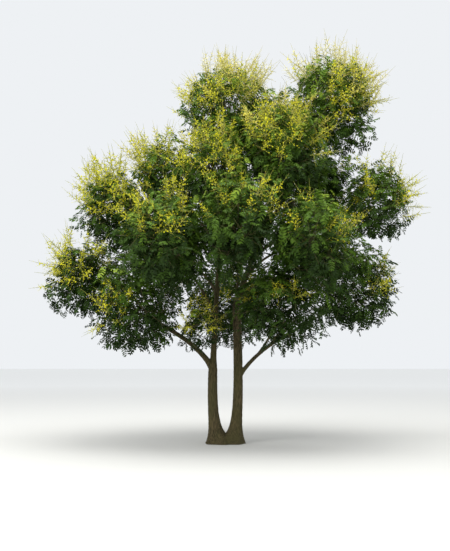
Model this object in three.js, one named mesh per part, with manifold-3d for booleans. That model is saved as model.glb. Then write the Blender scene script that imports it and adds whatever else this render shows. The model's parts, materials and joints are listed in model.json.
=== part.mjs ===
// A goldenrain tree in bloom: two stems from one root crown, their boughs, and masses of leafy shoots
// whose upper tips stand in flower heads.
// Millimetres, +Z up. The origin is on the flat cut at ground level, between the stems.
// +X is the right of the side that is seen, and +Y points away from it.
import * as THREE from "three";
import { mergeVertices } from "three/addons/utils/BufferGeometryUtils.js";
import Module from "manifold-3d";

const wasm = await Module();
wasm.setup();

// Clearances
const GAP = 0.3; // between pieces that touch
const LIMB_CLEARANCE = 15; // between foliage and any limb but its own stem
const SPACE_MARGIN = 4; // from foliage to the edge of its own space
const SLIVER = 0.25; // detail smaller than this is cleared away where pieces join
const SAME_CORNER = 0.001; // corners nearer to each other than this are one

// The stems: four guide points each, the radius above the root flare and at the top
const STEMS = {
  left: {
    guides: [[-140, 0, 0], [-275, 0, 520], [-262, 10, 1100], [-250, 20, 1600]],
    radius: 105,
    topRadius: 90,
  },
  right: {
    guides: [[150, 20, 0], [335, 40, 560], [262, 110, 2000], [245, 110, 2900]],
    radius: 105,
    topRadius: 82,
  },
};
const FLARE = 2; // how much wider the root flare is than the stem
const FLARE_HEIGHT = 180;
const ROOT_LOBES = 5;
const LOBE_DEPTH = 0.16;
const BELOW_GROUND = -0.12; // share of a stem's curve where its tube starts, before the cut

// The masses of foliage: the centre, the reach from it, and the share of its shoots that flower
const MASSES = {
  left_dome: { centre: [60, 200, 7200], reach: 1400, bloom: 0.95 },
  right_dome: { centre: [2270, 200, 7360], reach: 1450, bloom: 0.9 },
  right_shoulder: { centre: [2100, 250, 5600], reach: 1050, bloom: 0.5 },
  right_tip: { centre: [3130, -200, 5100], reach: 1050, bloom: 0.5 },
  right_low: { centre: [2780, 200, 3330], reach: 1150, bloom: 0.6 },
  left_shoulder: { centre: [-1300, 200, 5620], reach: 1250, bloom: 0.85 },
  left_upper_wing: { centre: [-2300, 300, 5050], reach: 1250, bloom: 0.85 },
  left_wing: { centre: [-2910, -200, 3500], reach: 1060, bloom: 0.75 },
  left_low: { centre: [-1780, -700, 2900], reach: 1200, bloom: 0.3 },
  low_sprig: { centre: [-600, -750, 2400], reach: 600, bloom: 1 },
  front_left: { centre: [-990, -1700, 4000], reach: 1300, bloom: 0.35 },
  front_mid: { centre: [240, -1950, 4200], reach: 1300, bloom: 0.4 },
  front_right: { centre: [1580, -1700, 3850], reach: 1300, bloom: 0.3 },
  front_low: { centre: [1100, -1300, 2980], reach: 1270, bloom: 0.35 },
  front_top: { centre: [1120, -900, 5930], reach: 1340, bloom: 0.8 },
  front_heart: { centre: [-60, -850, 5560], reach: 1280, bloom: 0.75 },
  back_left: { centre: [-1500, 1850, 4560], reach: 1350, bloom: 0.5 },
  back_mid: { centre: [170, 2300, 5200], reach: 1350, bloom: 0.5 },
  back_right: { centre: [1950, 1950, 4900], reach: 1350, bloom: 0.5 },
  back_top: { centre: [1100, 1300, 6900], reach: 1350, bloom: 0.8 },
  back_low: { centre: [150, 2000, 3150], reach: 1250, bloom: 0.2 },
};
const CROWN_HEART = new THREE.Vector3(0, 0, 4200); // foliage turns outwards from here

// The boughs, each named after the mass that it feeds: the limb that it leaves, how far along that
// limb, and its radius there. A limb stands before those that leave it.
const BOUGHS = {
  left_dome: { from: "left", share: 0.96, radius: 67 },
  left_wing: { from: "left", share: 0.95, radius: 62 },
  right_dome: { from: "right", share: 0.97, radius: 66 },
  right_low: { from: "right", share: 0.5, radius: 46 },
  left_low: { from: "left_wing", share: 0.3, radius: 32 },
  low_sprig: { from: "left_wing", share: 0.2, radius: 13 },
  left_upper_wing: { from: "left_wing", share: 0.42, radius: 34 },
  back_low: { from: "right", share: 0.58, radius: 34 },
  front_left: { from: "left_dome", share: 0.16, radius: 36 },
  back_left: { from: "left_dome", share: 0.26, radius: 34 },
  left_shoulder: { from: "left_dome", share: 0.42, radius: 32 },
  front_heart: { from: "left_dome", share: 0.52, radius: 24 },
  back_mid: { from: "left_dome", share: 0.36, radius: 32 },
  front_mid: { from: "right", share: 0.72, radius: 38 },
  right_tip: { from: "right_dome", share: 0.22, radius: 36 },
  right_shoulder: { from: "right_dome", share: 0.4, radius: 22 },
  back_right: { from: "right_dome", share: 0.12, radius: 34 },
  front_top: { from: "right_dome", share: 0.34, radius: 32 },
  back_top: { from: "right_dome", share: 0.44, radius: 30 },
  front_low: { from: "right_low", share: 0.2, radius: 28 },
  front_right: { from: "right_low", share: 0.3, radius: 30 },
};
const TIP_RADIUS = 13; // of every bough's line where it reaches the middle of its mass
const TAPER = 0.8; // below 1, a bough thins sooner near its root
const PARENT_PULL = 0.7; // how much a bough sets off along the limb that it leaves
const UP_PULL = 0.55; // how much a bough turns upwards as it ends
const DEPARTURE_REACH = 0.36; // shares of a bough's span at which its two inner guides stand
const ARRIVAL_REACH = 0.34;

// Growth inside a mass
const STEM_ENTRY = 0.74; // share of the reach, from the centre, where the bough gives way to the stem
const ENTRY_MARGIN = 90; // from the bough's tip to the edge of the mass's space
const ENTRY_SHARE = 0.25; // of the reach, which the margin is no larger than
const ENTRY_STEP = 0.01;
const TWIGS = 11; // places for twigs all round a mass, of which those that face a neighbour stay empty
const TWIG_REACH = [0.4, 0.58]; // shares of the reach between which twig tips stand
const LEAST_SPAN = 0.34; // a twig whose way out is shorter than this share of the reach is skipped
const TIP_ROOM = 0.62; // share of the way out that a twig uses at most
const OUTWARD_PULL = 0.25;
const TWIG_START = 0.3; // share of the stem where the twigs that point backwards leave it
const TWIG_RADIUS = 12;
const TWIG_TIP_RADIUS = 8;
const HALVINGS = 24; // rounds in which the way out of a mass is narrowed down
const GOLDEN_ANGLE = Math.PI * (3 - Math.sqrt(5));

// Sprays of leaves and heads of flowers
const END_SPRAY = { length: 860, width: 0.56 }; // widths and thicknesses are shares of the length
const CROSS_SPRAY = { length: 1100, width: 0.44 };
const SPRAY_THICKNESS = 0.022;
const SPRAY_DROOP = 0.32;
const HEAD = { length: 620, width: 0.34 };
const HEAD_RISE = 1.1;
const HEAD_FRONT = new THREE.Vector3(0.3, -1, 0); // where one edge of every flower head faces
const HEAD_SUNK = 0.1; // share of a head's length that lies inside its twig's tip
const LOWEST_HEAD = -0.25; // heads stand on twigs that point higher than this
const WIDEST_AT = 0.4; // share of a spray's or head's length where it is widest
const SHRINK = 0.92; // a spray that would leave the mass's space is tried again this much shorter
const LEAST_LENGTH = 250;
const SEED_STEP = 7919;

// Facets
const STEM_FACETS = { sides: 12, steps: 10, bunched: 1.6 };
const BOUGH_FACETS = { sides: 5, steps: 6, bunched: 1 };
const MASS_STEM_FACETS = { sides: 4, steps: 2, bunched: 1 };
const FIRST_CORNER = new THREE.Vector3(1, 0.15, 0.05); // where the first corner of a tube faces
const TWIG_ANGLES = [-30, 90, 210].map(THREE.MathUtils.degToRad);

const UP = new THREE.Vector3(0, 0, 1);

const MOSTLY_BLOOM = 0.6; // masses with a larger share of flowers than this take their colour
const BARK = new THREE.MeshStandardMaterial({ color: "#6b5e49", roughness: 0.92, metalness: 0 });
const LEAVES = new THREE.MeshStandardMaterial({ color: "#4c6b2f", roughness: 0.6, metalness: 0 });
const BLOOM = new THREE.MeshStandardMaterial({ color: "#a9a53f", roughness: 0.7, metalness: 0 });

// A stream of even random numbers from 0 to 1.
function randomFrom(seed) {
  let state = seed;
  return () => {
    state = (state * 16807) % 2147483647;
    return state / 2147483647;
  };
}

function vector([x, y, z]) {
  return new THREE.Vector3(x, y, z);
}

function mix(a, b, share) {
  return a + (b - a) * share;
}

// The unit vector square to `along` that lies nearest to `wanted`.
function squareTo(along, wanted) {
  return wanted.clone().addScaledVector(along, -wanted.dot(along)).normalize();
}

// A point moved by an amount in each of some directions.
function offset(point, ...moves) {
  const moved = point.clone();
  for (let n = 0; n < moves.length; n += 2) {
    moved.addScaledVector(moves[n], moves[n + 1]);
  }
  return moved;
}

function solidOf(positions, faces) {
  const geometry = new THREE.BufferGeometry();
  geometry.setAttribute("position", new THREE.Float32BufferAttribute(positions, 3));
  geometry.setIndex(faces);
  const merged = mergeVertices(geometry, SAME_CORNER);
  return new wasm.Manifold(
    new wasm.Mesh({
      numProp: 3,
      vertProperties: merged.attributes.position.array,
      triVerts: new Uint32Array(merged.index.array),
    }),
  );
}

// A closed solid over rings of corners, which turn anticlockwise as seen from the last ring.
// A ring of one corner closes an end to a point.
function skin(rings) {
  const starts = [];
  let count = 0;
  for (const ring of rings) {
    starts.push(count);
    count += ring.length;
  }
  const faces = [];
  for (let n = 0; n + 1 < rings.length; n++) {
    const sides = Math.max(rings[n].length, rings[n + 1].length);
    for (let side = 0; side < sides; side++) {
      const next = (side + 1) % sides;
      const [here, beside] = [side, next].map((k) => starts[n] + (k % rings[n].length));
      const [above, over] = [side, next].map((k) => starts[n + 1] + (k % rings[n + 1].length));
      if (here !== beside) {
        faces.push(here, beside, over);
      }
      if (above !== over) {
        faces.push(here, over, above);
      }
    }
  }
  const last = starts.at(-1);
  for (let side = 1; side < rings[0].length - 1; side++) {
    faces.push(0, side + 1, side);
  }
  for (let side = 1; side < rings.at(-1).length - 1; side++) {
    faces.push(last, last + side, last + side + 1);
  }
  return solidOf(rings.flat().flatMap((corner) => [...corner]), faces);
}

// A closed tube along part of a curve, with flat ends square to it.
function tube(curve, from, to, radiusAt, { sides, steps, bunched }) {
  const rings = [];
  let across = FIRST_CORNER;
  for (let step = 0; step <= steps; step++) {
    const share = mix(from, to, (step / steps) ** bunched);
    const centre = curve.getPoint(share);
    const along = curve.getTangent(THREE.MathUtils.clamp(share, 0, 1));
    across = squareTo(along, across);
    const third = along.clone().cross(across);
    const ring = [];
    for (let side = 0; side < sides; side++) {
      const angle = (2 * Math.PI * side) / sides;
      const radius = radiusAt(share, centre, angle);
      ring.push(offset(centre, across, radius * Math.cos(angle), third, radius * Math.sin(angle)));
    }
    rings.push(ring);
  }
  return skin(rings);
}

// The largest body of a solid, once its slivers are cleared.
function largestBody(solid) {
  const { vertProperties, triVerts } = solid.getMesh();
  const bodies = solidOf([...vertProperties], [...triVerts]).simplify(SLIVER).decompose();
  return bodies.reduce((best, body) => (body.volume() > best.volume() ? body : best));
}

function overlaps(a, b) {
  const [p, q] = [a.boundingBox(), b.boundingBox()];
  if ([0, 1, 2].some((k) => p.min[k] > q.max[k] || q.min[k] > p.max[k])) {
    return false;
  }
  return !a.intersect(b).isEmpty();
}

// The radius of a stem with its root flare, which stands in lobes near the ground.
function stemRadius({ radius, topRadius }) {
  return (share, centre, angle) => {
    const height = Math.max(centre.z, 0);
    const flare = FLARE * Math.exp(-height / FLARE_HEIGHT);
    const lobes = 1 + LOBE_DEPTH * Math.cos(ROOT_LOBES * angle);
    return mix(radius, topRadius, Math.max(share, 0)) * (1 + flare * lobes);
  };
}

function growStem(stem) {
  return {
    curve: new THREE.CubicBezierCurve3(...stem.guides.map(vector)),
    from: BELOW_GROUND,
    to: 1,
    radiusAt: stemRadius(stem),
    facets: STEM_FACETS,
  };
}

// The line of a bough: it sets off partly along the limb that it leaves and turns upwards as it ends.
function boughLine(parent, share, target) {
  const root = parent.curve.getPoint(share);
  const span = target.distanceTo(root);
  const toTarget = target.clone().sub(root).normalize();
  const departure = parent.curve.getTangent(share).multiplyScalar(PARENT_PULL).add(toTarget);
  const arrival = toTarget.clone().addScaledVector(UP, UP_PULL);
  return new THREE.CubicBezierCurve3(
    root,
    root.clone().addScaledVector(departure.normalize(), span * DEPARTURE_REACH),
    target.clone().addScaledVector(arrival.normalize(), -span * ARRIVAL_REACH),
    target,
  );
}

// How far a point lies inside a mass's space, which ends at its reach and halfway to its neighbours.
function depthIn(name, point) {
  const own = MASSES[name];
  const centre = vector(own.centre);
  const toCentre = point.distanceTo(centre);
  let depth = own.reach - toCentre;
  for (const [other, mass] of Object.entries(MASSES)) {
    const apart = vector(mass.centre).distanceTo(centre);
    if (other === name || apart > own.reach + mass.reach) {
      continue;
    }
    const toOther = point.distanceTo(vector(mass.centre));
    const power = toOther ** 2 - mass.reach ** 2 - (toCentre ** 2 - own.reach ** 2);
    depth = Math.min(depth, power / (2 * apart));
  }
  return depth;
}

// The share of a bough's line at which it gives way to the stem of its mass.
function entryShare(name, curve) {
  const { centre, reach } = MASSES[name];
  for (let share = ENTRY_STEP; share < 1; share += ENTRY_STEP) {
    const point = curve.getPoint(share);
    const near = point.distanceTo(vector(centre)) < reach * STEM_ENTRY;
    if (near && depthIn(name, point) > Math.min(ENTRY_MARGIN, reach * ENTRY_SHARE)) {
      return share;
    }
  }
  throw new Error(`the bough to ${name} never enters its mass`);
}

function growBough(name, limbs) {
  const { from, share, radius } = BOUGHS[name];
  const curve = boughLine(limbs[from], share, vector(MASSES[name].centre));
  return {
    curve,
    from: 0,
    to: entryShare(name, curve),
    radiusAt: (along) => mix(radius, TIP_RADIUS, along ** TAPER),
    facets: BOUGH_FACETS,
  };
}

function limbSolid(limb, extra = 0) {
  const reachPast = extra / limb.curve.getLength();
  return tube(
    limb.curve,
    limb.from,
    limb.to + reachPast,
    (...where) => limb.radiusAt(...where) + extra,
    limb.facets,
  );
}

// The distance from a point to the edge of a mass's space in one direction.
function wayOut(name, from, direction) {
  let inside = 0;
  let outside = 2 * MASSES[name].reach;
  for (let halving = 0; halving < HALVINGS; halving++) {
    const middle = (inside + outside) / 2;
    const probe = from.clone().addScaledVector(direction, middle);
    if (depthIn(name, probe) > SPACE_MARGIN) {
      inside = middle;
    } else {
      outside = middle;
    }
  }
  return inside;
}

// Twigs spread evenly over a mass by the golden angle, turned outwards from the crown's heart.
function twigsOf(name, stemCurve, seat, random) {
  const { centre, reach, bloom } = MASSES[name];
  const middle = vector(centre);
  const outwards = middle.clone().sub(CROWN_HEART).normalize();
  const stemWay = stemCurve.getTangent(1);
  const turn = 2 * Math.PI * random();
  const twigs = [];
  for (let n = 0; n < TWIGS; n++) {
    const height = 1 - (2 * (n + 0.5)) / TWIGS;
    const ring = Math.sqrt(1 - height * height);
    const angle = turn + n * GOLDEN_ANGLE;
    const even = new THREE.Vector3(ring * Math.cos(angle), ring * Math.sin(angle), height);
    const way = even.addScaledVector(outwards, OUTWARD_PULL).normalize();
    const farthest = reach * mix(...TWIG_REACH, random());
    const flowers = random() < bloom && way.z > LOWEST_HEAD;
    const span = Math.min(farthest, TIP_ROOM * wayOut(name, middle, way));
    if (span < LEAST_SPAN * reach) {
      continue;
    }
    const backwards = (1 - way.dot(stemWay)) / 2;
    const start = stemCurve.getPoint(mix(seat, 1, mix(1, TWIG_START, backwards)));
    const tip = middle.clone().addScaledVector(way, span);
    twigs.push({ start, tip, way: tip.clone().sub(start).normalize(), flowers });
  }
  return twigs;
}

// The longest of a kind of spray, up to its full length, that stays in the mass's space and clear of
// the solids named. There may be none, so the answer is a list.
function longestFit(name, obstacles, fullLength, ringsAt) {
  for (let length = fullLength; length > LEAST_LENGTH; length *= SHRINK) {
    const rings = ringsAt(length);
    if (rings.flat().every((corner) => depthIn(name, corner) > SPACE_MARGIN)) {
      const solid = skin(rings);
      if (!obstacles.some((obstacle) => overlaps(solid, obstacle))) {
        return [solid];
      }
    }
  }
  return [];
}

// A three-sided twig that widens at its tip into a drooping spray of leaves.
function leafyTwig(name, obstacles, { start, tip, way }) {
  const side = UP.clone().cross(way).normalize().negate();
  const top = side.clone().cross(way).negate();
  const ringAt = (centre, radius) =>
    TWIG_ANGLES.map((angle) =>
      offset(centre, side, radius * Math.cos(angle), top, radius * Math.sin(angle)),
    );
  const along = offset(way, UP, -SPRAY_DROOP).normalize();
  return longestFit(name, obstacles, END_SPRAY.length, (length) => {
    const halfWidth = (length * END_SPRAY.width) / 2;
    const wide = offset(tip, along, length * WIDEST_AT);
    return [
      ringAt(start, TWIG_RADIUS),
      ringAt(tip, TWIG_TIP_RADIUS),
      [
        offset(wide, side, halfWidth),
        offset(wide, top, length * SPRAY_THICKNESS),
        offset(wide, side, -halfWidth),
      ],
      [offset(tip, along, length)],
    ];
  });
}

// A spray that lies across a twig's tip, with both its ends drooping.
function crossSpray(name, obstacles, { tip, way }) {
  const side = way.clone().cross(UP).normalize();
  const top = side.clone().cross(way);
  return longestFit(name, obstacles, CROSS_SPRAY.length, (length) => {
    const halfWidth = (length * CROSS_SPRAY.width) / 2;
    const halfThickness = (length * SPRAY_THICKNESS) / 2;
    const drooped = offset(tip, UP, (-length * SPRAY_DROOP) / 2);
    return [
      [offset(drooped, side, -length / 2)],
      [
        offset(tip, way, -halfWidth),
        offset(tip, top, -halfThickness),
        offset(tip, way, halfWidth),
        offset(tip, top, halfThickness),
      ],
      [offset(drooped, side, length / 2)],
    ];
  });
}

// A head of flowers that stands up from a twig's tip.
function flowerHead(name, obstacles, { tip, way }) {
  const along = offset(way, UP, HEAD_RISE).normalize();
  const front = squareTo(along, HEAD_FRONT);
  const side = front.clone().cross(along);
  return longestFit(name, obstacles, HEAD.length, (length) => {
    const halfWidth = (length * HEAD.width) / 2;
    const root = offset(tip, way, -HEAD_SUNK * length);
    const wide = offset(root, along, length * WIDEST_AT);
    return [
      [root],
      [
        offset(wide, side, halfWidth),
        offset(wide, front, halfWidth),
        offset(wide, side, -halfWidth),
        offset(wide, front, -halfWidth),
      ],
      [offset(root, along, length)],
    ];
  });
}

// One mass: its stem, twigs, sprays and flower heads, joined, with nothing that touches a limb.
function massSolid(name, order, limbs, guards) {
  const random = randomFrom((order + 1) * SEED_STEP);
  const bough = limbs[name];
  const seat = bough.to + GAP / bough.curve.getLength();
  const stem = limbSolid({ ...bough, from: seat, to: 1, facets: MASS_STEM_FACETS });
  const shoots = twigsOf(name, bough.curve, seat, random).map((twig) => ({
    twig,
    solids: leafyTwig(name, guards, twig),
  }));
  for (const shoot of shoots.filter(({ solids }) => solids.length)) {
    const others = shoots.filter((other) => other !== shoot).flatMap(({ solids }) => solids);
    const obstacles = [...guards, stem, ...others];
    const heads = shoot.twig.flowers ? flowerHead(name, obstacles, shoot.twig) : [];
    shoot.solids.push(...heads, ...crossSpray(name, obstacles, shoot.twig));
  }
  return largestBody(wasm.Manifold.union([stem, ...shoots.flatMap(({ solids }) => solids)]));
}

function meshOf(name, solid, material) {
  const { numProp, numVert, vertProperties, triVerts } = solid.getMesh();
  const positions = new Float32Array(numVert * 3);
  for (let n = 0; n < numVert; n++) {
    positions.set(vertProperties.subarray(n * numProp, n * numProp + 3), n * 3);
  }
  const geometry = new THREE.BufferGeometry();
  geometry.setAttribute("position", new THREE.BufferAttribute(positions, 3));
  geometry.setIndex(new THREE.BufferAttribute(triVerts, 1));
  geometry.computeVertexNormals();
  const mesh = new THREE.Mesh(geometry, material);
  mesh.name = name;
  return mesh;
}

// Every limb's line, by name, from the stems outwards.
function growLimbs() {
  const limbs = {};
  for (const [name, stem] of Object.entries(STEMS)) {
    limbs[name] = growStem(stem);
  }
  for (const name of Object.keys(BOUGHS)) {
    limbs[name] = growBough(name, limbs);
  }
  return limbs;
}

function trunkSolid(limbs, extra = 0) {
  const both = Object.keys(STEMS).map((name) => limbSolid(limbs[name], extra));
  return wasm.Manifold.union(both);
}

function buildTree() {
  const tree = new THREE.Group();
  const limbs = growLimbs();
  tree.add(meshOf("trunk", trunkSolid(limbs).trimByPlane([0, 0, 1], 0), BARK));

  // Each bough is cut clear of the trunk and of the boughs before it.
  const seats = [trunkSolid(limbs, GAP)];
  for (const name of Object.keys(BOUGHS)) {
    const whole = limbSolid(limbs[name]);
    const touching = seats.filter((seat) => overlaps(whole, seat));
    const cut = touching.reduce((left, seat) => left.subtract(seat), whole);
    tree.add(meshOf(`bough_${name}`, largestBody(cut), BARK));
    seats.push(limbSolid(limbs[name], GAP));
  }

  const guards = Object.keys(BOUGHS).map((name) => limbSolid(limbs[name], LIMB_CLEARANCE));
  guards.push(trunkSolid(limbs, LIMB_CLEARANCE));
  Object.keys(MASSES).forEach((name, order) => {
    const solid = massSolid(name, order, limbs, guards);
    tree.add(meshOf(`foliage_${name}`, solid, MASSES[name].bloom > MOSTLY_BLOOM ? BLOOM : LEAVES));
  });
  return tree;
}

export default buildTree();
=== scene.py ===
"""A goldenrain tree in bloom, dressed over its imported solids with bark, twigs, leaves and flower heads.

Metres, in the part's own frame: +Z up, +X to the right of the side that is seen, +Y away from it.
The limbs and the masses of foliage grow by the same rule as the solids, and are carried on from there
to fine shoots, compound leaves and branched flower heads. The leaves keep to the same spaces as the
solids, and the flower heads stand a little out of them.
"""

import json
import math
from collections import namedtuple

import bmesh
import bpy
import numpy as np
from mathutils import Color, Matrix, Vector, kdtree, noise

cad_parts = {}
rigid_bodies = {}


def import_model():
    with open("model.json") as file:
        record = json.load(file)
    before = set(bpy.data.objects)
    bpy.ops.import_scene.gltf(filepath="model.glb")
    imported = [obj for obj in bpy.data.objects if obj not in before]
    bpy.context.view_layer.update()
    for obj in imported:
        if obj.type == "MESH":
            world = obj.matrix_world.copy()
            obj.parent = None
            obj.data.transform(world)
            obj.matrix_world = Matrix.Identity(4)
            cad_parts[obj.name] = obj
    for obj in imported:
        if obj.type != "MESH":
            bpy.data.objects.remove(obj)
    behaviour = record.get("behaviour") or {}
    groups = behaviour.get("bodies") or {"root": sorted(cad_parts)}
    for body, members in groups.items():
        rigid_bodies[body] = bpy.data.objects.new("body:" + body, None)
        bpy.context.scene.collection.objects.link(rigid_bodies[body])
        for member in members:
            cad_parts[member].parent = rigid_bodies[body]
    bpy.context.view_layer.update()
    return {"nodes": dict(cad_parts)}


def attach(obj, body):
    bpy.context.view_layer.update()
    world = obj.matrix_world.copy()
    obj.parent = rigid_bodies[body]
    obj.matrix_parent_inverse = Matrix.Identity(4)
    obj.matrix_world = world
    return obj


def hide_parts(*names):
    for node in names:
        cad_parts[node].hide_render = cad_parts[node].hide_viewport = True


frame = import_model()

LIMB_NODES = [name for name in frame["nodes"] if not name.startswith("foliage_")]
FOLIAGE_NODES = [name for name in frame["nodes"] if name.startswith("foliage_")]

UP = Vector((0, 0, 1))
FIRST_ACROSS = Vector((1, 0.15, 0.05))  # a tube's sides are counted from here, which no limb runs along
GOLDEN_ANGLE = math.pi * (3 - math.sqrt(5))
GAP = 0.0003  # between a bough's tip and the stem of its mass
SPACE_MARGIN = 0.004  # from a mass's twigs to the edge of its space
LENGTH_STEPS = 24  # chords by which a limb's line is measured

# Even random numbers: each state is the factor times the one before it, modulo the range
RANDOM_FACTOR = 16807
RANDOM_RANGE = 2147483647
SEED_STEP = 7919  # between the seeds of the masses, and of the kinds of leaf and head
FLOWER_SEED = 1  # added for flowers and for leaves, so that each kind draws numbers of its own
LEAF_SEED = 2

# The stems: four guide points each, the radius above the root flare and at the top
STEMS = {
    "left": {
        "guides": [(-0.14, 0, 0), (-0.275, 0, 0.52), (-0.262, 0.01, 1.1), (-0.25, 0.02, 1.6)],
        "radius": 0.105,
        "top_radius": 0.09,
    },
    "right": {
        "guides": [(0.15, 0.02, 0), (0.335, 0.04, 0.56), (0.262, 0.11, 2), (0.245, 0.11, 2.9)],
        "radius": 0.105,
        "top_radius": 0.082,
    },
}
FLARE = 2  # what the root flare adds at the ground, in radii of the stem
FLARE_HEIGHT = 0.18  # over which the flare falls to about a third
ROOT_LOBES = 5
LOBE_DEPTH = 0.16
BELOW_GROUND = -0.12  # share of a stem's line where its tube starts, before the cut

# The masses of foliage: the centre, the reach from it, and the share of its shoots that flower
MASSES = {
    "left_dome": {"centre": (0.06, 0.2, 7.2), "reach": 1.4, "bloom": 0.95},
    "right_dome": {"centre": (2.27, 0.2, 7.36), "reach": 1.45, "bloom": 0.9},
    "right_shoulder": {"centre": (2.1, 0.25, 5.6), "reach": 1.05, "bloom": 0.5},
    "right_tip": {"centre": (3.13, -0.2, 5.1), "reach": 1.05, "bloom": 0.5},
    "right_low": {"centre": (2.78, 0.2, 3.33), "reach": 1.15, "bloom": 0.6},
    "left_shoulder": {"centre": (-1.3, 0.2, 5.62), "reach": 1.25, "bloom": 0.85},
    "left_upper_wing": {"centre": (-2.3, 0.3, 5.05), "reach": 1.25, "bloom": 0.85},
    "left_wing": {"centre": (-2.91, -0.2, 3.5), "reach": 1.06, "bloom": 0.75},
    "left_low": {"centre": (-1.78, -0.7, 2.9), "reach": 1.2, "bloom": 0.3},
    "low_sprig": {"centre": (-0.6, -0.75, 2.4), "reach": 0.6, "bloom": 1},
    "front_left": {"centre": (-0.99, -1.7, 4), "reach": 1.3, "bloom": 0.35},
    "front_mid": {"centre": (0.24, -1.95, 4.2), "reach": 1.3, "bloom": 0.4},
    "front_right": {"centre": (1.58, -1.7, 3.85), "reach": 1.3, "bloom": 0.3},
    "front_low": {"centre": (1.1, -1.3, 2.98), "reach": 1.27, "bloom": 0.35},
    "front_top": {"centre": (1.12, -0.9, 5.93), "reach": 1.34, "bloom": 0.8},
    "front_heart": {"centre": (-0.06, -0.85, 5.56), "reach": 1.28, "bloom": 0.75},
    "back_left": {"centre": (-1.5, 1.85, 4.56), "reach": 1.35, "bloom": 0.5},
    "back_mid": {"centre": (0.17, 2.3, 5.2), "reach": 1.35, "bloom": 0.5},
    "back_right": {"centre": (1.95, 1.95, 4.9), "reach": 1.35, "bloom": 0.5},
    "back_top": {"centre": (1.1, 1.3, 6.9), "reach": 1.35, "bloom": 0.8},
    "back_low": {"centre": (0.15, 2, 3.15), "reach": 1.25, "bloom": 0.2},
}
CROWN_HEART = Vector((0, 0, 4.2))  # foliage turns outwards from here
CROWN_RISE = 4.4  # from there to the top

# The boughs, each named after the mass that it feeds: the limb that it leaves, how far along that
# limb, and its radius there
BOUGHS = {
    "left_dome": {"leaves": "left", "share": 0.96, "radius": 0.067},
    "left_wing": {"leaves": "left", "share": 0.95, "radius": 0.062},
    "right_dome": {"leaves": "right", "share": 0.97, "radius": 0.066},
    "right_low": {"leaves": "right", "share": 0.5, "radius": 0.046},
    "left_low": {"leaves": "left_wing", "share": 0.3, "radius": 0.032},
    "low_sprig": {"leaves": "left_wing", "share": 0.2, "radius": 0.013},
    "left_upper_wing": {"leaves": "left_wing", "share": 0.42, "radius": 0.034},
    "back_low": {"leaves": "right", "share": 0.58, "radius": 0.034},
    "front_left": {"leaves": "left_dome", "share": 0.16, "radius": 0.036},
    "back_left": {"leaves": "left_dome", "share": 0.26, "radius": 0.034},
    "left_shoulder": {"leaves": "left_dome", "share": 0.42, "radius": 0.032},
    "front_heart": {"leaves": "left_dome", "share": 0.52, "radius": 0.024},
    "back_mid": {"leaves": "left_dome", "share": 0.36, "radius": 0.032},
    "front_mid": {"leaves": "right", "share": 0.72, "radius": 0.038},
    "right_tip": {"leaves": "right_dome", "share": 0.22, "radius": 0.036},
    "right_shoulder": {"leaves": "right_dome", "share": 0.4, "radius": 0.022},
    "back_right": {"leaves": "right_dome", "share": 0.12, "radius": 0.034},
    "front_top": {"leaves": "right_dome", "share": 0.34, "radius": 0.032},
    "back_top": {"leaves": "right_dome", "share": 0.44, "radius": 0.03},
    "front_low": {"leaves": "right_low", "share": 0.2, "radius": 0.028},
    "front_right": {"leaves": "right_low", "share": 0.3, "radius": 0.03},
}
TIP_RADIUS = 0.013  # of every bough's line where it reaches the middle of its mass
TAPER = 0.8
PARENT_PULL = 0.7  # how much a bough sets off along the limb that it leaves
UP_PULL = 0.55  # how much a bough turns upwards as it ends
DEPARTURE_REACH = 0.36  # shares of a bough's span at which its two inner guides stand
ARRIVAL_REACH = 0.34

# Growth inside a mass, as in the solids
STEM_ENTRY = 0.74  # share of the reach, from the centre, where the bough gives way to the stem
ENTRY_MARGIN = 0.09  # from the bough's tip to the edge of the mass's space
ENTRY_SHARE = 0.25  # of the reach, which the margin is no larger than
ENTRY_STEP = 0.01
TWIGS = 11
TWIG_REACH = (0.4, 0.58)  # shares of the reach between which twig tips stand
LEAST_SPAN = 0.34  # a twig that would end nearer the centre than this share of the reach is skipped
TIP_ROOM = 0.62  # share of the way out that a twig uses at most
OUTWARD_PULL = 0.25
TWIG_START = 0.3  # share of the stem where the twigs that point backwards leave it
TWIG_RADIUS = 0.012
TWIG_TIP_RADIUS = 0.005
LOWEST_HEAD = -0.25  # heads stand on twigs that point higher than this

# Shoots: what the twigs carry beyond the solids. They share out the space of their mass
SHOOTS = 132  # in a mass with a reach of a metre
SHOOT_TIPS = (0.34, 0.9)  # shares of the way out between which the shoots' tips stand
CROWDING = 0.6  # below 1, more of the tips stand far out
LEAST_ROOM = 0.3  # no shoot grows where the way out is shorter than this share of the reach
SHOOT_FORK = 0.8  # how far back a shoot leaves its twig, for each metre that its tip stands off it
FIRST_SHOOT = 0.12  # share of the twig where shoots may start
SHOOT_CURVE = 0.14  # how far a shoot's bend swings out, as a share of its length
SHORTEST_SHOOT = 0.06
SHOOT_RADIUS = 0.005
SHOOT_TIP_RADIUS = 0.0022

# Leaves stand in a whorl at each shoot's end
LEAVES = 4
FIRST_LEAF = 0.5  # share of the shoot where its lowest leaf stands
LEAF_LEAN = (math.radians(88), math.radians(48))  # off the shoot, at the lowest and highest leaf
LEAF_DROOP = 0.34
LEAF_LENGTH = (0.24, 0.38)
SHORTEST_LEAF = 0.13
EDGE_MARGIN = 0.01  # from shoots and leaves to the edge of the mass's space
LEAF_MARGIN = 0.5  # the same for leaves where a mass is in full bloom, so that its heads stand clear
SPRAY_SIZE = 1.0  # of all leaves and heads, as a share of what they grow to

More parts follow.
